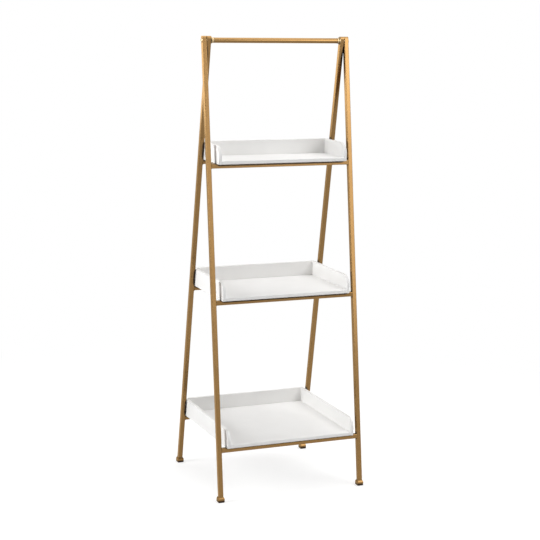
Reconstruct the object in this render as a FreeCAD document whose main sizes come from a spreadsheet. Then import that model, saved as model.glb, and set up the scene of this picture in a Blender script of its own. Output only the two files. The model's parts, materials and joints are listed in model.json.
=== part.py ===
import FreeCAD, Part
import math
import os
import re

import Sketcher

# A folding A-frame shelf: two welded square-tube frames, lapped and bolted together at
# the top, and three white trays that peg onto the cross rails and lift off.
# Millimetres. +Z is up, the front is -Y, and the origin is on the floor under the middle.

# Driving sizes
SIZES = {
    # Frames
    "pivot_height": 1384.0,
    "foot_reach": 204.0,
    "tube_side": 14.0,
    "tube_wall": 1.2,
    "tube_corner": 1.6,
    "leg_past_pivot": 13.0,
    "end_block": 26.0,
    "bead_leg": 2.8,
    "bead_width": 9.0,
    # Feet
    "foot_height": 17.0,
    "foot_side": 20.5,
    "foot_corner": 1.8,
    "foot_bevel": 5.0,
    "foot_shoulder": 0.6,
    "foot_base": 3.0,
    "foot_undercut": 0.9,
    "spigot_length": 24.0,
    "glide_thickness": 2.4,
    "glide_inset": 2.6,
    "glide_proud": 1.0,
    # Top pivot
    "bolt_diameter": 6.0,
    "bolt_length": 43.0,
    "bolt_head": 12.8,
    "bolt_head_height": 2.0,
    "bolt_head_bevel": 0.7,
    "bolt_socket": 5.0,
    "bolt_socket_depth": 3.0,
    "sleeve_wall": 1.0,
    "washer_thickness": 0.5,
    "washer_diameter": 13.4,
    "flange_diameter": 20.0,
    "flange_thickness": 2.5,
    "hub_length": 6.0,
    "hub_diameter": 16.6,
    "neck_length": 1.3,
    "neck_depth": 0.8,
    "rod_diameter": 16.0,
    "rod_wall": 1.2,
    "plug_length": 20.0,
    # Trays
    "upper_tray_height": 1018.5,
    "upper_front_overhang": 27.1,
    "upper_back_overhang": 16.1,
    "middle_tray_height": 609.5,
    "middle_front_overhang": 17.8,
    "middle_back_overhang": 19.8,
    "lower_tray_height": 164.5,
    "lower_front_overhang": 13.2,
    "lower_back_overhang": 14.7,
    "tray_width": 426.0,
    "tray_clearance": 1.5,
    "wall_height": 55.0,
    "board": 10.0,
    "wall_curve": 33.0,
    "board_edge": 0.8,
    "tongue": 4.0,
    "tongue_length": 5.0,
    "tongue_inset": 12.0,
    # Pegs and cleats
    "peg_diameter": 6.0,
    "peg_inset": 53.0,
    "peg_drop": 8.0,
    "peg_bite": 6.5,
    "cleat_inset": 53.0,
    "cleat_width": 7.0,
    "cleat_drop": 8.0,
    # Clearances
    "running_gap": 0.05,
    "loose_gap": 0.2,
    "peg_gap": 0.3,
    "overrun": 4.0,
}

# Places and sizes worked out from them
DERIVED = {
    "lean": "atan(foot_reach / pivot_height)",
    "half_tube": "tube_side / 2",
    "tube_bore": "tube_side - 2 * tube_wall",
    "leg_below": "(pivot_height - foot_height) / cos(lean)",
    "block_below": "end_block - leg_past_pivot",
    "rear_leg_x": "tray_width / 2 + tray_clearance + half_tube",
    "front_leg_x": "rear_leg_x + tube_side + washer_thickness",
    "bolt_seat_x": "front_leg_x + half_tube",
    "sleeve_x": "front_leg_x - half_tube",
    "sleeve_length": "tube_side + washer_thickness + loose_gap",
    "flange_x": "sleeve_x - sleeve_length",
    "rod_half": "flange_x - flange_thickness - hub_length - neck_length",
    "foot_y": "foot_reach * (1 - foot_height / pivot_height)",
    "foot_block": "foot_height - glide_proud",
    "foot_setback": "foot_side / 2 - half_tube - foot_shoulder",
    "spigot_side": "tube_bore - 2 * loose_gap",
    "recess_side": "foot_side - 2 * glide_inset",
    "glide_side": "recess_side - 2 * loose_gap",
    "upper_rail_z": "upper_tray_height - half_tube",
    "middle_rail_z": "middle_tray_height - half_tube",
    "lower_rail_z": "lower_tray_height - half_tube",
    "upper_rail_y": "foot_reach * (1 - upper_rail_z / pivot_height)",
    "middle_rail_y": "foot_reach * (1 - middle_rail_z / pivot_height)",
    "lower_rail_y": "foot_reach * (1 - lower_rail_z / pivot_height)",
    "upper_tray_front": "upper_rail_y + upper_front_overhang",
    "upper_tray_back": "upper_rail_y + upper_back_overhang",
    "middle_tray_front": "middle_rail_y + middle_front_overhang",
    "middle_tray_back": "middle_rail_y + middle_back_overhang",
    "lower_tray_front": "lower_rail_y + lower_front_overhang",
    "lower_tray_back": "lower_rail_y + lower_back_overhang",
    "bolt_hole": "bolt_diameter + 2 * loose_gap",
    "sleeve_outer": "bolt_hole + 2 * sleeve_wall",
    "pivot_hole": "sleeve_outer + 2 * running_gap",
    "bolt_reach": "bolt_length - tube_side - sleeve_length",
    "rod_bore": "rod_diameter - 2 * rod_wall",
    "plug_diameter": "rod_bore - 2 * running_gap",
    "neck_diameter": "rod_diameter - 2 * neck_depth",
    "tapped_hole": "bolt_diameter + 2 * running_gap",
    "half_inside": "tray_width / 2 - board",
    "half_spacing": "tray_width / 2 - peg_inset",
    "half_cleat": "tray_width / 2 - cleat_inset",
    "half_tongue": "tongue / 2",
    "half_groove": "half_tongue + running_gap",
    "peg_hole": "peg_diameter + 2 * peg_gap",
    "peg_bore": "peg_diameter + 2 * running_gap",
}

TRAYS = ("upper", "middle", "lower")
SIDES = {"left": -1, "right": 1}
ENDS = {"front": -1, "rear": 1}

X_AXIS = FreeCAD.Vector(1, 0, 0)
Y_AXIS = FreeCAD.Vector(0, 1, 0)
Z_AXIS = FreeCAD.Vector(0, 0, 1)
NEAR = 1e-4

doc = FreeCAD.newDocument("accent_shelf")
sheet = doc.addObject("Spreadsheet::Sheet", "dims")
nodes = []


def fill_sheet():
    # One row a size: its name, then its value or formula under that alias
    rows = {name: str(value) for name, value in SIZES.items()}
    rows.update({name: "=" + formula for name, formula in DERIVED.items()})
    for number, (name, text) in enumerate(rows.items(), 1):
        sheet.set("A%d" % number, name)
        sheet.set("B%d" % number, text)
        sheet.setAlias("B%d" % number, name)
    doc.recompute()


def amount(formula):
    # The present value of a formula in the sheet's names
    found = sheet.evalExpression(str(formula))
    return float(getattr(found, "Value", found))


def bind(item, path, formula):
    # Ties one property of an object to a formula in the sheet's names
    names = {**SIZES, **DERIVED}
    tied = re.sub(r"[a-z_]+", lambda word: "dims." + word[0] if word[0] in names else word[0], str(formula))
    item.setExpression(path, tied)


def new_body(label, place, turn=None):
    # A sub-part, with its place in the shelf tied to the sheet
    body = doc.addObject("PartDesign::Body", label)
    body.Label = label
    body.AllowCompound = True
    if turn:
        axis, angle = turn
        body.Placement = FreeCAD.Placement(FreeCAD.Vector(), FreeCAD.Rotation(axis, amount(angle)))
        bind(body, "Placement.Rotation.Angle", angle)
    for name, formula in zip("xyz", place):
        bind(body, "Placement.Base." + name, formula)
    nodes.append(body)
    return body


def new_sketch(body, plane, lift="0", turn="0"):
    # A sketch on an origin plane of the body, lifted along its normal and turned about it
    sketch = body.newObject("Sketcher::SketchObject", body.Label + "_sketch")
    support = [part for part in body.Origin.OriginFeatures if part.Role == plane][0]
    sketch.AttachmentSupport = [(support, "")]
    sketch.MapMode = "FlatFace"
    bind(sketch, "AttachmentOffset.Base.z", lift)
    if turn != "0":
        sketch.AttachmentOffset = FreeCAD.Placement(FreeCAD.Vector(), FreeCAD.Rotation(Z_AXIS, amount(turn)))
        bind(sketch, "AttachmentOffset.Rotation.Angle", turn)
    return sketch


def hold(sketch, kind, formula, *where):
    # Adds one dimension and ties it to the sheet
    number = sketch.addConstraint(Sketcher.Constraint(kind, *where, amount(formula)))
    bind(sketch, "Constraints[%d]" % number, formula)


def draw_outline(sketch, corners):
    # A closed outline of straight lines, each corner held at its two coordinates
    points = [FreeCAD.Vector(amount(across), amount(up)) for across, up in corners]
    first = sketch.GeometryCount
    for start, end in zip(points, points[1:] + points[:1]):
        sketch.addGeometry(Part.LineSegment(start, end), False)
    for number, (across, up) in enumerate(corners):
        line = first + number
        after = first + (number + 1) % len(corners)
        sketch.addConstraint(Sketcher.Constraint("Coincident", line, 2, after, 1))
        hold(sketch, "DistanceX", across, -1, 1, line, 1)
        hold(sketch, "DistanceY", up, -1, 1, line, 1)


def draw_box(sketch, left, right, low, high):
    draw_outline(sketch, [(left, low), (right, low), (right, high), (left, high)])


def draw_square(sketch, side):
    half = "(%s) / 2" % side
    draw_box(sketch, "-" + half, half, "-" + half, half)


def draw_circle(sketch, diameter, across="0", up="0"):
    middle = FreeCAD.Vector(amount(across), amount(up))
    number = sketch.addGeometry(Part.Circle(middle, Z_AXIS, amount(diameter) / 2), False)
    hold(sketch, "DistanceX", across, -1, 1, number, 3)
    hold(sketch, "DistanceY", up, -1, 1, number, 3)
    hold(sketch, "Diameter", diameter, number)


def draw_rounded_square(sketch, side, corner):
    # Four quarter arcs joined by four lines
    half = amount(side) / 2
    radius = amount(corner)
    ways = ((1, 1), (-1, 1), (-1, -1), (1, -1))
    first = sketch.GeometryCount
    for quarter, (across, up) in enumerate(ways):
        middle = FreeCAD.Vector(across, up) * (half - radius)
        turns = [FreeCAD.Rotation(Z_AXIS, 90 * quarter + turn) for turn in (0, 45, 90)]
        sketch.addGeometry(Part.Arc(*[middle + turn.multVec(X_AXIS) * radius for turn in turns]), False)
    for quarter in range(len(ways)):
        start = sketch.getPoint(first + quarter, 2)
        end = sketch.getPoint(first + (quarter + 1) % len(ways), 1)
        sketch.addGeometry(Part.LineSegment(start, end), False)
    for quarter, (across, up) in enumerate(ways):
        arc = first + quarter
        line = arc + len(ways)
        after = first + (quarter + 1) % len(ways)
        sketch.addConstraint(Sketcher.Constraint("Tangent", arc, 2, line, 1))
        sketch.addConstraint(Sketcher.Constraint("Tangent", line, 2, after, 1))
        hold(sketch, "DistanceX", "%d * (%s / 2 - %s)" % (across, side, corner), -1, 1, arc, 3)
        hold(sketch, "DistanceY", "%d * (%s / 2 - %s)" % (up, side, corner), -1, 1, arc, 3)
    hold(sketch, "Radius", corner, first)


def draw_round_end(sketch, half, middle, top):
    # What is outside a half-round end: an arc, and a box round it up to the top
    radius = amount(half)
    centre = FreeCAD.Vector(0, amount(middle))
    arc = sketch.addGeometry(Part.ArcOfCircle(Part.Circle(centre, Z_AXIS, radius), 0, math.pi), False)
    outer = "(%s + overrun)" % half
    corners = [("-" + half, middle), ("-" + outer, middle), ("-" + outer, top), (outer, top), (outer, middle)]
    points = [FreeCAD.Vector(amount(across), amount(up)) for across, up in corners]
    points.append(FreeCAD.Vector(radius, centre.y))
    sides = [Part.LineSegment(start, end) for start, end in zip(points, points[1:])]
    lines = [sketch.addGeometry(side, False) for side in sides]
    sketch.addConstraint(Sketcher.Constraint("Coincident", arc, 2, lines[0], 1))
    sketch.addConstraint(Sketcher.Constraint("Coincident", lines[-1], 2, arc, 1))
    for line, after in zip(lines, lines[1:]):
        sketch.addConstraint(Sketcher.Constraint("Coincident", line, 2, after, 1))
    for line, (across, up) in zip(lines, corners):
        hold(sketch, "DistanceX", across, -1, 1, line, 1)
        hold(sketch, "DistanceY", up, -1, 1, line, 1)
    hold(sketch, "DistanceX", "0", -1, 1, arc, 3)
    hold(sketch, "DistanceY", middle, -1, 1, arc, 3)
    hold(sketch, "DistanceY", middle, -1, 1, arc, 1)


def extrude(kind, body, sketch, length, both_ways, backwards):
    feature = body.newObject("PartDesign::" + kind, body.Label + "_" + kind.lower())
    feature.Profile = sketch
    feature.Type = "Length"
    feature.SideType = "Symmetric" if both_ways else "One side"
    feature.Reversed = backwards
    bind(feature, "Length", length)
    doc.recompute()


def pad(body, sketch, length, both_ways=False, backwards=False):
    extrude("Pad", body, sketch, length, both_ways, backwards)


def pocket(body, sketch, length, both_ways=False, backwards=False):
    # A pocket has to take material away
    before = body.Shape.Volume
    extrude("Pocket", body, sketch, length, both_ways, backwards)
    if body.Shape.Volume >= before:
        raise RuntimeError("A pocket cut nothing from " + body.Label)


def drill(body, plane, lift, spots, diameter, depth, backwards=False):
    # A row of round holes
    holes = new_sketch(body, plane, lift=lift)
    for across, up in spots:
        draw_circle(holes, diameter, across, up)
    pocket(body, holes, depth, backwards=backwards)


def revolve(body, corners):
    # A turned piece: an outline of radii and heights, spun about the body's Z axis
    sketch = new_sketch(body, "XZ_Plane")
    draw_outline(sketch, corners)
    feature = body.newObject("PartDesign::Revolution", body.Label + "_revolution")
    feature.Profile = sketch
    feature.ReferenceAxis = (sketch, ["V_Axis"])
    feature.Angle = 360
    doc.recompute()


def dress_edges(kind, body, chosen):
    # Starts a fillet or chamfer on the edges that a test picks
    base = body.Tip
    names = ["Edge%d" % number for number, edge in enumerate(base.Shape.Edges, 1) if chosen(edge)]
    if not names:
        raise RuntimeError("No edge to dress on " + body.Label)
    feature = body.newObject("PartDesign::" + kind, body.Label + "_" + kind.lower())
    feature.Base = (base, names)
    return feature


def fillet(body, radius, chosen):
    bind(dress_edges("Fillet", body, chosen), "Radius", radius)
    doc.recompute()


def chamfer(body, size, chosen):
    bind(dress_edges("Chamfer", body, chosen), "Size", size)
    doc.recompute()


def lies_at(edge, axis, formula):
    # Whether an edge lies in the plane square to the axis at that place
    place = amount(formula)
    middle = (edge.FirstParameter + edge.LastParameter) / 2
    spots = [edge.valueAt(spot) for spot in (edge.FirstParameter, middle, edge.LastParameter)]
    return all(abs(spot.dot(axis) - place) < NEAR for spot in spots)


def is_along(edge, axis):
    # Whether an edge is straight and runs along the axis
    return edge.Curve.TypeId == "Part::GeomLine" and edge.Curve.Direction.cross(axis).Length < NEAR


# Legs: the pivot is at the body's origin and the tube runs down its Z axis
def make_leg(label, side, end, leg_x, hole):
    turn = "%d * lean" % end
    body = new_body(label, ("%d * %s" % (side, leg_x), "0", "pivot_height"), (X_AXIS, turn))

    outline = new_sketch(body, "XY_Plane", lift="leg_past_pivot")
    draw_rounded_square(outline, "tube_side", "tube_corner")
    pad(body, outline, "leg_past_pivot + leg_below + tube_side", backwards=True)

    top = new_sketch(body, "YZ_Plane")
    draw_round_end(top, "half_tube", "leg_past_pivot - half_tube", "leg_past_pivot + overrun")
    pocket(body, top, "tube_side + overrun", both_ways=True)

    # The tube's bottom end is cut level, where it stands on the foot
    level = new_sketch(body, "YZ_Plane", turn="-(%s)" % turn)
    reach = "%d * foot_y" % end
    floor = "foot_height - pivot_height"
    draw_box(level, reach + " - foot_side", reach + " + foot_side", floor + " - foot_side - tube_side", floor)
    pocket(body, level, "tube_side + overrun", both_ways=True)

    # The tube is hollow up to the block that is welded into its top end
    hollow = new_sketch(body, "YZ_Plane")
    draw_box(hollow, "-tube_bore / 2", "tube_bore / 2", "-leg_below - foot_side", "-block_below")
    pocket(body, hollow, "tube_bore", both_ways=True)

    pivot = new_sketch(body, "YZ_Plane")
    draw_circle(pivot, hole)
    pocket(body, pivot, "tube_side + overrun", both_ways=True)


# Cross rails: level square tubes welded between the two legs of a frame
def make_rail(label, tray, end, leg_x):
    body = new_body(label, ("0", "%d * %s_rail_y" % (end, tray), tray + "_rail_z"))
    half_length = "(%s - half_tube)" % leg_x

    outline = new_sketch(body, "YZ_Plane")
    draw_square(outline, "tube_side")
    pad(body, outline, "2 * " + half_length, both_ways=True)
    fillet(body, "tube_corner", lambda edge: is_along(edge, X_AXIS))

    # The weld bead under each end
    beads = new_sketch(body, "XZ_Plane")
    for side in SIDES.values():
        wall = "%d * %s" % (side, half_length)
        inner = "%s - %d * bead_leg" % (wall, side)
        draw_outline(beads, [(wall, "-half_tube"), (wall, "-half_tube - bead_leg"), (inner, "-half_tube")])
    pad(body, beads, "bead_width", both_ways=True)

    hollow = new_sketch(body, "YZ_Plane")
    draw_square(hollow, "tube_bore")
    pocket(body, hollow, "2 * %s + overrun" % half_length, both_ways=True)

    # The tray's front pegs drop into holes in the top of the front rail
    if end == ENDS["front"]:
        spots = [("%d * half_spacing" % side, "0") for side in SIDES.values()]
        drill(body, "XY_Plane", "half_tube + overrun", spots, "peg_hole", "overrun + peg_drop + peg_gap")


def draw_bevel(sketch, way, start, inset, end, beyond):
    # What a bevel takes off one side of the foot, from the height start to the height end
    side = "%d * foot_side / 2" % way
    inner = "%d * (foot_side / 2 - %s)" % (way, inset)
    outer = "%d * (foot_side / 2 + overrun)" % way
    draw_outline(sketch, [(side, start), (inner, end), (inner, beyond), (outer, beyond), (outer, start)])


# Feet: the origin is where the leg's centre line meets the top of the foot
def make_foot(label, side, end, leg_x):
    body = new_body(label, ("%d * %s" % (side, leg_x), "%d * foot_y" % end, "foot_height"))

    # A square block with its four corners cut off
    block = new_sketch(body, "XY_Plane")
    half = "foot_side / 2"
    cut = "(foot_side / 2 - foot_corner)"
    corners = [(half, cut), (cut, half), ("-" + cut, half), ("-" + half, cut)]
    draw_outline(block, corners + [("-" + across, "-" + up) for across, up in corners[:2]]
                 + [(cut, "-" + half), (half, "-" + cut)])
    pad(body, block, "foot_block", backwards=True)

    # The bevelled shoulder at the top, and the slight taper at the bottom
    for plane in ("XZ_Plane", "YZ_Plane"):
        bevels = new_sketch(body, plane)
        for way in SIDES.values():
            draw_bevel(bevels, way, "-foot_bevel", "foot_setback", "0", "overrun")
            draw_bevel(bevels, way, "foot_base - foot_block", "foot_undercut", "-foot_block", "-foot_block - overrun")
        pocket(body, bevels, "foot_side + overrun", both_ways=True)

    # The spigot leans with the leg and fills its bore
    spigot = new_sketch(body, "YZ_Plane", turn="%d * lean" % end)
    draw_box(spigot, "-spigot_side / 2", "spigot_side / 2", "-foot_bevel", "spigot_length")
    pad(body, spigot, "spigot_side", both_ways=True)

    # The glide's recess
    recess = new_sketch(body, "XY_Plane", lift="glide_proud - foot_height")
    draw_square(recess, "recess_side")
    pocket(body, recess, "glide_thickness - glide_proud", backwards=True)


# Glides: a rubber pad let into the underside of each foot
def make_glide(label, side, end, leg_x):
    body = new_body(label, ("%d * %s" % (side, leg_x), "%d * foot_y" % end, "0"))
    sole = new_sketch(body, "XY_Plane")
    draw_square(sole, "glide_side")
    pad(body, sole, "glide_thickness")
    chamfer(body, "glide_proud / 2", lambda edge: lies_at(edge, Z_AXIS, "0"))


# Top pivot: each body's Z axis points outwards along the pivot
def pivot_body(label, side, place):
    return new_body(label, ("%d * (%s)" % (side, place), "0", "pivot_height"), (Y_AXIS, "%d * 90" % side))


def make_bolt(label, side):
    body = pivot_body(label, side, "bolt_seat_x")
    rim = "bolt_head / 2"
    top = "bolt_head_height"
    revolve(body, [
        ("0", top),
        ("0", "-bolt_length"),
        ("bolt_diameter / 2", "-bolt_length"),
        ("bolt_diameter / 2", "0"),
        (rim, "0"),
        (rim, top + " - bolt_head_bevel"),
        (rim + " - 2 * bolt_head_bevel", top),
    ])
    socket = new_sketch(body, "XY_Plane", lift=top)
    reach = "bolt_socket / (2 * cos(30))"
    turns = range(0, 360, 60)
    draw_outline(socket, [("%s * cos(%d)" % (reach, turn), "%s * sin(%d)" % (reach, turn)) for turn in turns])
    pocket(body, socket, "bolt_socket_depth")


def make_ring(label, side, outer, inner, length):
    # A washer or a sleeve, from the outer leg's inner face inwards
    body = pivot_body(label, side, "sleeve_x")
    ring = new_sketch(body, "XY_Plane")
    draw_circle(ring, outer)
    draw_circle(ring, inner)
    pad(body, ring, length, backwards=True)


def make_rod_end(label, side):
    body = pivot_body(label, side, "flange_x")
    flange_end = "-flange_thickness"
    hub_end = flange_end + " - hub_length"
    neck_end = hub_end + " - neck_length"
    plug_end = neck_end + " - plug_length"
    hole_end = "-bolt_reach - loose_gap"
    revolve(body, [
        ("tapped_hole / 2", "0"),
        ("flange_diameter / 2", "0"),
        ("flange_diameter / 2", flange_end),
        ("hub_diameter / 2", flange_end),
        ("hub_diameter / 2", hub_end),
        ("neck_diameter / 2", hub_end),
        ("neck_diameter / 2", neck_end),
        ("plug_diameter / 2", neck_end),
        ("plug_diameter / 2", plug_end),
        ("0", plug_end),
        ("0", hole_end),
        ("tapped_hole / 2", hole_end),
    ])


def make_rod(label):
    body = new_body(label, ("0", "0", "pivot_height"))
    ring = new_sketch(body, "YZ_Plane")
    draw_circle(ring, "rod_diameter")
    draw_circle(ring, "rod_bore")
    pad(body, ring, "2 * rod_half", both_ways=True)


# Trays: each piece's origin is level with the tray's underside, in the shelf's middle plane
def tray_place(tray, across="0"):
    return (across, "0", tray + "_tray_height")


def make_bottom_panel(label, tray):
    body = new_body(label, tray_place(tray))
    front = "-%s_tray_front" % tray
    back = "%s_tray_back" % tray

    outline = new_sketch(body, "XY_Plane")
    draw_box(outline, "-half_inside", "half_inside", front, back)
    pad(body, outline, "board")
    chamfer(body, "board_edge", lambda edge: is_along(edge, X_AXIS) and lies_at(edge, Y_AXIS, front))

    # The tongues enter the side panels, and the groove takes the back panel
    tongues = new_sketch(body, "XY_Plane", lift="board / 2")
    reach = "half_inside + tongue_length"
    draw_box(tongues, "-(%s)" % reach, reach, front + " + tongue_inset", back + " - tongue_inset")
    pad(body, tongues, "tongue", both_ways=True)
    groove = new_sketch(body, "XY_Plane", lift="board")
    end = "half_inside - tongue_inset + loose_gap"
    middle = back + " - board / 2"
    draw_box(groove, "-(%s)" % end, end, middle + " - half_groove", middle + " + half_groove")
    pocket(body, groove, "tongue_length + loose_gap")

    spots = [("%d * half_spacing" % side, "-%s_rail_y" % tray) for side in SIDES.values()]
    drill(body, "XY_Plane", "0", spots, "peg_bore", "peg_bite + loose_gap", True)


def make_back_panel(label, tray):
    body = new_body(label, tray_place(tray))
    back = "%s_tray_back" % tray
    middle = back + " - board / 2"

    outline = new_sketch(body, "XY_Plane", lift="board")
    draw_box(outline, "-half_inside", "half_inside", back + " - board", back)
    pad(body, outline, "wall_height - board")
    top = "wall_height"
    chamfer(body, "board_edge", lambda edge: is_along(edge, X_AXIS) and lies_at(edge, Z_AXIS, top))

    # The upright tongues enter the side panels, and the long one the bottom panel
    upright = new_sketch(body, "XY_Plane", lift="board + tongue_inset")
    reach = "half_inside + tongue_length"
    draw_box(upright, "-(%s)" % reach, reach, middle + " - half_tongue", middle + " + half_tongue")
    pad(body, upright, "wall_height - board - 2 * tongue_inset")
    long = new_sketch(body, "XY_Plane", lift="board")
    end = "half_inside - tongue_inset"
    draw_box(long, "-(%s)" % end, end, middle + " - half_tongue", middle + " + half_tongue")
    pad(body, long, "tongue_length", backwards=True)


def make_side_panel(label, tray, side):
    body = new_body(label, tray_place(tray, "%d * half_inside" % side))
    front = "-%s_tray_front" % tray
    back = "%s_tray_back" % tray

    outline = new_sketch(body, "YZ_Plane")
    draw_box(outline, front, back, "0", "wall_height")
    pad(body, outline, "board", backwards=side < 0)

    def is_front_top(edge):
        return lies_at(edge, Y_AXIS, front) and lies_at(edge, Z_AXIS, "wall_height")

    def is_rim(edge):
        joined = lies_at(edge, Z_AXIS, "0") or lies_at(edge, Y_AXIS, back)
        outer = lies_at(edge, X_AXIS, "%d * board" % side)
        return outer or (lies_at(edge, X_AXIS, "0") and not joined)

    fillet(body, "wall_curve", is_front_top)
    chamfer(body, "board_edge", is_rim)

    # The stopped grooves for the tongues of the bottom and back panels
    ends = (front + " + tongue_inset - loose_gap", back + " - tongue_inset + loose_gap")
    level = new_sketch(body, "YZ_Plane")
    draw_box(level, *ends, "board / 2 - half_groove", "board / 2 + half_groove")
    pocket(body, level, "tongue_length + loose_gap", backwards=side > 0)
    middle = back + " - board / 2"
    ends = ("board + tongue_inset - loose_gap", "wall_height - tongue_inset + loose_gap")
    upright = new_sketch(body, "YZ_Plane")
    draw_box(upright, middle + " - half_groove", middle + " + half_groove", *ends)
    pocket(body, upright, "tongue_length + loose_gap", backwards=side > 0)


def make_pegs(label, tray):
    # Two pegs under the tray, which drop into the front rail
    body = new_body(label, tray_place(tray))
    row = new_sketch(body, "XY_Plane", lift="peg_bite")
    for side in SIDES.values():
        draw_circle(row, "peg_diameter", "%d * half_spacing" % side, "-%s_rail_y" % tray)
    pad(body, row, "peg_bite + peg_drop", backwards=True)


def make_cleat(label, tray):
    # A strip glued under the tray, which hooks behind the rear rail
    body = new_body(label, tray_place(tray))
    outline = new_sketch(body, "XY_Plane")
    near = "%s_rail_y + half_tube + peg_gap" % tray
    draw_box(outline, "-half_cleat", "half_cleat", near, near + " + cleat_width")
    pad(body, outline, "cleat_drop", backwards=True)


def write_parts():
    # Nothing is written unless every object and every sub-part is sound
    doc.recompute()
    for item in doc.Objects:
        if "Invalid" in item.State or "Error" in item.State:
            raise RuntimeError("%s failed: %s" % (item.Label, item.State))
    for node in nodes:
        if node.Shape.isNull() or not node.Shape.isValid():
            raise RuntimeError("%s has no sound shape" % node.Label)
    os.makedirs("parts", exist_ok=True)
    for node in nodes:
        node.Shape.exportStep("parts/%s.step" % node.Label)
        print(node.Label, len(node.Shape.Solids), "solids", round(node.Shape.Volume, 1), "mm3")


fill_sheet()

for end_name, end in ENDS.items():
    leg_x = end_name + "_leg_x"
    hole = {"front": "bolt_hole", "rear": "pivot_hole"}[end_name]
    for side_name, side in SIDES.items():
        corner = "%s_%s" % (end_name, side_name)
        make_leg(corner + "_leg", side, end, leg_x, hole)
        make_foot(corner + "_foot", side, end, leg_x)
        make_glide(corner + "_glide", side, end, leg_x)
    for tray in TRAYS:
        make_rail("%s_%s_rail" % (tray, end_name), tray, end, leg_x)

make_rod("top_rod")
for side_name, side in SIDES.items():
    make_rod_end(side_name + "_rod_end", side)
    make_bolt(side_name + "_pivot_bolt", side)
    make_ring(side_name + "_pivot_sleeve", side, "sleeve_outer", "bolt_hole", "sleeve_length")
    make_ring(side_name + "_pivot_washer", side, "washer_diameter", "pivot_hole", "washer_thickness")

for tray in TRAYS:
    make_bottom_panel(tray + "_tray_bottom", tray)
    make_back_panel(tray + "_tray_back", tray)
    for side_name, side in SIDES.items():
        make_side_panel("%s_tray_%s_side" % (tray, side_name), tray, side)
    make_pegs(tray + "_tray_pegs", tray)
    make_cleat(tray + "_tray_cleat", tray)

write_parts()
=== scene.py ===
import json
import math

import bpy
from mathutils import Matrix, Vector

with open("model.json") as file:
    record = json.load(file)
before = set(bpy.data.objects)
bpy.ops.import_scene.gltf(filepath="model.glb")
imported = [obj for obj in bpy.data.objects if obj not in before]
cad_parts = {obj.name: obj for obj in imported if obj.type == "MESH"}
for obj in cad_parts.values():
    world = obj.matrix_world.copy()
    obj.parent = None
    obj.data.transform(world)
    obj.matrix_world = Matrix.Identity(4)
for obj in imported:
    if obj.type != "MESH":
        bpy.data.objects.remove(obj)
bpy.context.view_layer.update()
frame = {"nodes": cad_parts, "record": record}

NODES = frame["nodes"]
WHITE = (1, 1, 1)

# Camera: the photograph's viewing angle, in degrees, metres and pixels
PHOTO_SIDE = 540
SENSOR_MM = 36.0
FOCAL_PIXELS = 1495.4
YAW = -23.60
PITCH = 11.14
ROLL = 1.38
AIM = Vector((0.0, 0.0, 0.6985))
AIM_ACROSS = -0.0020
AIM_UP = -0.0282
DISTANCE = 4.6974
CLIP_END = 100.0

# Light: what the surround gives, then the lamps. Each lamp has its direction from the point it
# aims at, in degrees to the right of the front and above the horizon, its side in metres and
# its power in watts. A lamp with an away, an aim or a tall has a distance or a height to aim at
# of its own, or isn't square
WORLD_LIGHT = 0.02
LAMP_AWAY = 3.4
LAMP_AIM = 0.75
LAMPS = {
    "left": {"around": -92, "above": 12, "side": 1.6, "power": 66},
    "left_high": {"around": -92, "above": 20, "side": 0.9, "power": 10, "away": 2.0, "aim": 1.2},
    "top_right": {"around": 70, "above": 66, "side": 4.4, "power": 96},
    "rear_top": {"around": 180, "above": 60, "side": 3.0, "power": 31},
    "rear_left": {"around": -156, "above": 0, "side": 0.8, "power": 4, "away": 2.6, "aim": 1.3},
    "front": {"around": 0, "above": 5, "side": 1.2, "power": 6},
    "front_right": {"around": 26, "above": 12, "side": 0.8, "power": 11, "tall": 1.7},
    "front_high": {"around": 42, "above": 30, "side": 1.6, "power": 26},
}

# Floor: its side, its glow and greys, and the distances between which it fades to plain white
FLOOR_SIDE = 40.0
FLOOR_GLOW = 0.6
FLOOR_ALBEDO = 0.8
FLOOR_SHOWN = 0.55
FLOOR_FADE = (0.7, 1.8)

# Metals: the two linear colours that each is mottled between, how metallic it is, its range of
# roughness and the weight of its clear coat
METALS = {
    "gold_frame": {
        "dark": (0.225, 0.124, 0.038),
        "light": (0.245, 0.136, 0.043),
        "metallic": 0.95,
        "rough": (0.22, 0.25),
        "coat": 0.35,
    },
    "foot_cap": {
        "dark": (0.21, 0.116, 0.036),
        "light": (0.235, 0.13, 0.041),
        "metallic": 0.95,
        "rough": (0.25, 0.29),
        "coat": 0.3,
    },
    # Rod: its low roughness is a real polish; its colour, darker than the frame's, is painted
    # shade for the dark edges along it
    "polished_rod_painted_shade": {
        "dark": (0.2, 0.112, 0.035),
        "light": (0.215, 0.121, 0.039),
        "metallic": 1.0,
        "rough": (0.14, 0.16),
        "coat": 0.35,
    },
    # Rod ends: a paler colour than the frame, a painted highlight
    "painted_highlight_rod_end": {
        "dark": (0.36, 0.255, 0.13),
        "light": (0.41, 0.295, 0.155),
        "metallic": 0.9,
        "rough": (0.2, 0.24),
        "coat": 0.3,
    },
    "bolt_steel": {
        "dark": (0.5, 0.38, 0.24),
        "light": (0.58, 0.45, 0.3),
        "metallic": 0.9,
        "rough": (0.26, 0.34),
        "coat": 0.2,
    },
}
METAL_TONES = (0.3, 0.7)
METAL_EDGE = (1.0, 0.78, 0.5, 1)
METAL_COAT_ROUGH = 0.25

# Painted shade on metal close to another face: how close, in metres, the shares of open surround
# between which the painted shade darkens it, what its colour is multiplied by, and the rays that
# look for the face
PAINTED_SHADE_REACH = 0.0165
PAINTED_SHADE_TONES = (0.74, 0.82)
PAINTED_SHADE_COLOUR = (0.08, 0.06, 0.05)
PAINTED_SHADE_RAYS = 48

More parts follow.
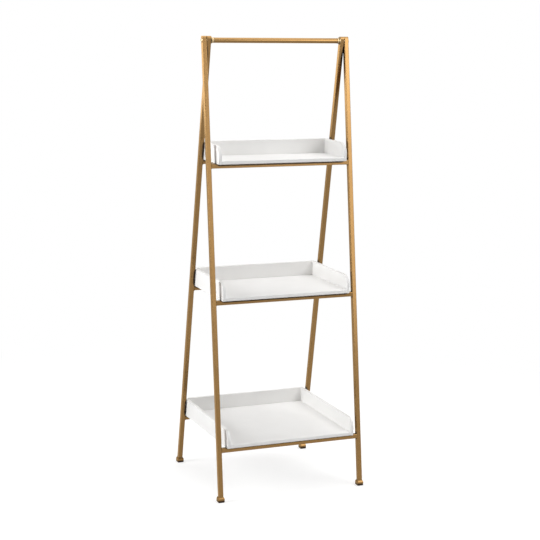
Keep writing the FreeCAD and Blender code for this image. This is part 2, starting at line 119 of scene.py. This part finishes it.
# The other finishes: their two linear colours, and their range of roughness
BOARD_COLOURS = ((0.885, 0.88, 0.868), (0.915, 0.91, 0.898))
BOARD_ROUGH = (0.5, 0.58)
BOARD_GLOSS = 0.25
RUBBER_COLOURS = ((0.02, 0.018, 0.016), (0.035, 0.03, 0.028))
RUBBER_ROUGH = (0.65, 0.75)
NYLON_COLOURS = ((0.72, 0.7, 0.66), (0.78, 0.76, 0.72))
NYLON_ROUGH = (0.4, 0.5)
BEECH_COLOURS = ((0.44, 0.27, 0.14), (0.6, 0.42, 0.25))
BEECH_ROUGH = (0.5, 0.7)
TONES = (0.35, 0.65)

# Noise: cells to the metre, detail, and where it isn't even, how far it is squeezed each way
METAL_MOTTLE = (40.0, 4.0)
METAL_GRAIN = (900.0, 2.0)
BOARD_CLOUD = (9.0, 4.0)
BOARD_PEEL = (420.0, 3.0)
MOULD_SPECKLE = (900.0, 3.0)
WOOD_GRAIN = (30.0, 8.0, (1, 14, 14))

# Relief: strength, and height in metres
METAL_RELIEF = (0.02, 0.0002)
BOARD_RELIEF = (0.05, 0.0003)
MOULD_RELIEF = (0.15, 0.0002)
WOOD_RELIEF = (0.2, 0.0003)

# Pieces whose finish isn't that of their slot
OWN_FINISH = {
    "top_rod": "polished_rod_painted_shade",
    # The rod ends are painted paler, a painted highlight
    "left_rod_end": "painted_highlight_rod_end",
    "right_rod_end": "painted_highlight_rod_end",
}


def ramp(tree, source, places, dark, light):
    # From dark to light as the source goes from one place to the other
    made = tree.nodes.new("ShaderNodeValToRGB")
    for item, place, colour in zip(made.color_ramp.elements, places, (dark, light)):
        item.position = place
        item.color = (*colour, 1)
    tree.links.new(source, made.inputs["Fac"])
    return made.outputs["Color"]


def spread(tree, source, low, high):
    made = tree.nodes.new("ShaderNodeMapRange")
    made.inputs["To Min"].default_value = low
    made.inputs["To Max"].default_value = high
    tree.links.new(source, made.inputs["Value"])
    return made.outputs["Result"]


def noise(tree, scale, detail, squeeze=(1, 1, 1)):
    place = tree.nodes.new("ShaderNodeTexCoord")
    squeezed = tree.nodes.new("ShaderNodeMapping")
    squeezed.inputs["Scale"].default_value = squeeze
    tree.links.new(place.outputs["Object"], squeezed.inputs["Vector"])
    made = tree.nodes.new("ShaderNodeTexNoise")
    made.inputs["Scale"].default_value = scale
    made.inputs["Detail"].default_value = detail
    tree.links.new(squeezed.outputs["Vector"], made.inputs["Vector"])
    return made.outputs["Fac"]


def bump(tree, shader, height, strength, distance):
    made = tree.nodes.new("ShaderNodeBump")
    made.inputs["Strength"].default_value = strength
    made.inputs["Distance"].default_value = distance
    tree.links.new(height, made.inputs["Height"])
    tree.links.new(made.outputs["Normal"], shader.inputs["Normal"])


def painted_corner_shade(tree, colour):
    # Painted shade: the colour is darkened where another face stands close
    open_share = tree.nodes.new("ShaderNodeAmbientOcclusion")
    open_share.samples = PAINTED_SHADE_RAYS
    open_share.inputs["Distance"].default_value = PAINTED_SHADE_REACH
    shade = ramp(tree, open_share.outputs["AO"], PAINTED_SHADE_TONES, PAINTED_SHADE_COLOUR, WHITE)
    blend = tree.nodes.new("ShaderNodeMix")
    blend.data_type = "RGBA"
    blend.blend_type = "MULTIPLY"
    blend.inputs["Factor"].default_value = 1.0
    tree.links.new(colour, blend.inputs["A"])
    tree.links.new(shade, blend.inputs["B"])
    return blend.outputs["Result"]


def surface(name):
    made = bpy.data.materials.new(name)
    made.use_nodes = True
    return made, made.node_tree, made.node_tree.nodes["Principled BSDF"]


def satin_metal(name, dark, light, metallic, rough, coat):
    made, tree, shader = surface(name)
    mottle = noise(tree, *METAL_MOTTLE)
    # Painted shade in corners and gaps is multiplied into the base colour
    colour = painted_corner_shade(tree, ramp(tree, mottle, METAL_TONES, dark, light))
    tree.links.new(colour, shader.inputs["Base Color"])
    tree.links.new(spread(tree, mottle, *rough), shader.inputs["Roughness"])
    shader.inputs["Metallic"].default_value = metallic
    shader.inputs["Specular Tint"].default_value = METAL_EDGE
    shader.inputs["Coat Weight"].default_value = coat
    shader.inputs["Coat Roughness"].default_value = METAL_COAT_ROUGH
    bump(tree, shader, noise(tree, *METAL_GRAIN), *METAL_RELIEF)
    return made


def painted_board(name):
    made, tree, shader = surface(name)
    cloud = noise(tree, *BOARD_CLOUD)
    tree.links.new(ramp(tree, cloud, TONES, *BOARD_COLOURS), shader.inputs["Base Color"])
    tree.links.new(spread(tree, cloud, *BOARD_ROUGH), shader.inputs["Roughness"])
    shader.inputs["Specular IOR Level"].default_value = BOARD_GLOSS
    bump(tree, shader, noise(tree, *BOARD_PEEL), *BOARD_RELIEF)
    return made


def one_noise(name, cells, colours, rough, relief):
    # A finish whose colour, roughness and relief follow the same noise
    made, tree, shader = surface(name)
    grain = noise(tree, *cells)
    tree.links.new(ramp(tree, grain, TONES, *colours), shader.inputs["Base Color"])
    tree.links.new(spread(tree, grain, *rough), shader.inputs["Roughness"])
    bump(tree, shader, grain, *relief)
    return made


def make_finishes():
    made = {name: satin_metal(name, **looks) for name, looks in METALS.items()}
    made["white_board"] = painted_board("white_board")
    for name, *looks in (
        ("glide_rubber", MOULD_SPECKLE, RUBBER_COLOURS, RUBBER_ROUGH, MOULD_RELIEF),
        ("sleeve_nylon", MOULD_SPECKLE, NYLON_COLOURS, NYLON_ROUGH, MOULD_RELIEF),
        ("beech", WOOD_GRAIN, BEECH_COLOURS, BEECH_ROUGH, WOOD_RELIEF),
    ):
        made[name] = one_noise(name, *looks)
    return made


def finish_nodes():
    finishes = make_finishes()
    for row in frame["record"]["subparts"]:
        item = NODES[row["node"]]
        finish = finishes[OWN_FINISH.get(row["node"], row["material_slot"])]
        item.data.materials.clear()
        item.data.materials.append(finish)


def direction(around, above):
    # The way that is so many degrees to the right of the front and above the horizon
    turn, lift = math.radians(around), math.radians(above)
    return Vector((
        math.sin(turn) * math.cos(lift),
        -math.cos(turn) * math.cos(lift),
        math.sin(lift),
    ))


def make_lamp(name, around, above, side, power, away=LAMP_AWAY, aim=LAMP_AIM, tall=None):
    outward = direction(around, above)
    data = bpy.data.lights.new(name, "AREA")
    data.shape = "RECTANGLE"
    data.size = side
    data.size_y = tall or side
    data.energy = power
    item = bpy.data.objects.new(name, data)
    bpy.context.scene.collection.objects.link(item)
    item.location = Vector((0, 0, aim)) + outward * away
    item.rotation_euler = outward.to_track_quat("Z", "Y").to_euler()
    item.visible_camera = False


def shown_ray(tree):
    # 1 for what the camera sees, straight, in a reflection or through something clear
    path = tree.nodes.new("ShaderNodeLightPath")
    total = path.outputs["Is Camera Ray"]
    for name in ("Is Glossy Ray", "Is Transmission Ray"):
        most = tree.nodes.new("ShaderNodeMath")
        most.operation = "MAXIMUM"
        tree.links.new(total, most.inputs[0])
        tree.links.new(path.outputs[name], most.inputs[1])
        total = most.outputs["Value"]
    return total


def background(tree, strength):
    made = tree.nodes.new("ShaderNodeBackground")
    made.inputs["Color"].default_value = (*WHITE, 1)
    made.inputs["Strength"].default_value = strength
    return made.outputs["Background"]


def glow(tree, strength):
    made = tree.nodes.new("ShaderNodeEmission")
    made.inputs["Color"].default_value = (*WHITE, 1)
    made.inputs["Strength"].default_value = strength
    return made.outputs["Emission"]


def matte(tree, grey):
    made = tree.nodes.new("ShaderNodeBsdfDiffuse")
    made.inputs["Color"].default_value = (grey, grey, grey, 1)
    return made.outputs["BSDF"]


def mix_shaders(tree, share, first, second):
    made = tree.nodes.new("ShaderNodeMixShader")
    tree.links.new(share, made.inputs["Fac"])
    tree.links.new(first, made.inputs[1])
    tree.links.new(second, made.inputs[2])
    return made.outputs["Shader"]


def make_world():
    # A white surround that gives little light
    world = bpy.data.worlds.new("studio")
    world.use_nodes = True
    bpy.context.scene.world = world
    tree = world.node_tree
    tree.nodes.clear()
    seen, light = background(tree, 1.0), background(tree, WORLD_LIGHT)
    out = tree.nodes.new("ShaderNodeOutputWorld")
    tree.links.new(mix_shaders(tree, shown_ray(tree), light, seen), out.inputs["Surface"])


def floor_finish():
    # Lit near the shelf, so that its shadow shows, and plain white further out
    made = bpy.data.materials.new("floor")
    made.use_nodes = True
    tree = made.node_tree
    tree.nodes.clear()
    near = tree.nodes.new("ShaderNodeAddShader")
    tree.links.new(matte(tree, FLOOR_SHOWN), near.inputs[0])
    tree.links.new(glow(tree, FLOOR_GLOW), near.inputs[1])
    place = tree.nodes.new("ShaderNodeTexCoord")
    away = tree.nodes.new("ShaderNodeVectorMath")
    away.operation = "LENGTH"
    tree.links.new(place.outputs["Object"], away.inputs[0])
    fade = tree.nodes.new("ShaderNodeMapRange")
    fade.interpolation_type = "SMOOTHSTEP"
    fade.inputs["From Min"].default_value = FLOOR_FADE[0]
    fade.inputs["From Max"].default_value = FLOOR_FADE[1]
    tree.links.new(away.outputs["Value"], fade.inputs["Value"])
    seen = mix_shaders(tree, fade.outputs["Result"], near.outputs["Shader"], glow(tree, 1.0))
    whole = mix_shaders(tree, shown_ray(tree), matte(tree, FLOOR_ALBEDO), seen)
    out = tree.nodes.new("ShaderNodeOutputMaterial")
    tree.links.new(whole, out.inputs["Surface"])
    return made


def make_floor():
    half = FLOOR_SIDE / 2
    corners = [(-half, -half, 0), (half, -half, 0), (half, half, 0), (-half, half, 0)]
    mesh = bpy.data.meshes.new("floor")
    mesh.from_pydata(corners, [], [(0, 1, 2, 3)])
    mesh.materials.append(floor_finish())
    floor = bpy.data.objects.new("floor", mesh)
    bpy.context.scene.collection.objects.link(floor)


def make_camera():
    back = direction(YAW, PITCH)
    right = (-back).cross(Vector((0, 0, 1))).normalized()
    up = right.cross(-back)
    roll = math.radians(ROLL)
    across = right * math.cos(roll) + up * math.sin(roll)
    upward = up * math.cos(roll) - right * math.sin(roll)
    data = bpy.data.cameras.new("camera")
    data.sensor_width = SENSOR_MM
    data.lens = FOCAL_PIXELS / PHOTO_SIDE * SENSOR_MM
    data.clip_end = CLIP_END
    camera = bpy.data.objects.new("camera", data)
    bpy.context.scene.collection.objects.link(camera)
    turn = Matrix((across, upward, back)).transposed().to_4x4()
    place = AIM + right * AIM_ACROSS + up * AIM_UP + back * DISTANCE
    camera.matrix_world = Matrix.Translation(place) @ turn
    bpy.context.scene.camera = camera


finish_nodes()
make_world()
make_floor()
make_camera()
for name, settings in LAMPS.items():
    make_lamp(name, **settings)
bpy.context.scene.view_settings.view_transform = "Standard"
